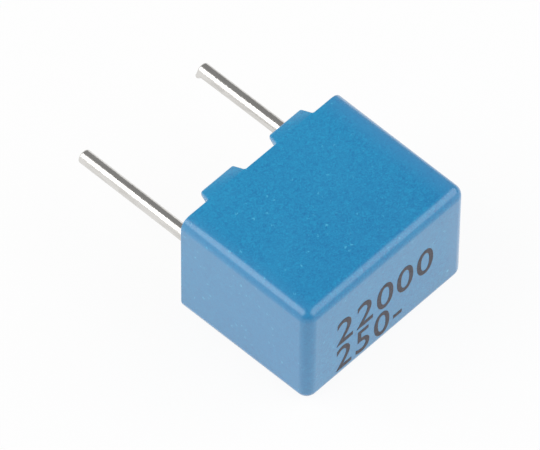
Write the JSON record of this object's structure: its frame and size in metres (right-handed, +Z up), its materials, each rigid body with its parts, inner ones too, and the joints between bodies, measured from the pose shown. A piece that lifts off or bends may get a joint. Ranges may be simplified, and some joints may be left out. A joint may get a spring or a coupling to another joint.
{
  "type": "polypropylene film capacitor",
  "caption": "Small boxed film capacitor with a moulded case, standoff feet at its open end, and a pair of straight wire leads for a through-hole board.",
  "frame": {"origin": "midway between the two leads, level with the tips of the standoffs, where the board's surface is", "axes": "+X from the left lead to the right lead, along the pitch; +Y out of the open end, the way the leads point; +Z up through the thickness, out of the upper broad wall, with the part lying on its lower broad wall"},
  "size_m": [0.0072, 0.0108, 0.0045],
  "materials": {
    "case": "fine matte moulded blue plastic",
    "resin": "cast potting resin, slightly glossy",
    "film": "wound clear film with metal foil",
    "sprayed_metal": "grainy sprayed zinc",
    "tinned_wire": "bright tinned wire"
  },
  "bodies": {
    "root": {"case": "case", "epoxy_fill": "resin", "film_winding": "film", "end_spray_left": "sprayed_metal", "end_spray_right": "sprayed_metal", "lead_left": "tinned_wire", "lead_right": "tinned_wire"}
  },
  "joints": []
}
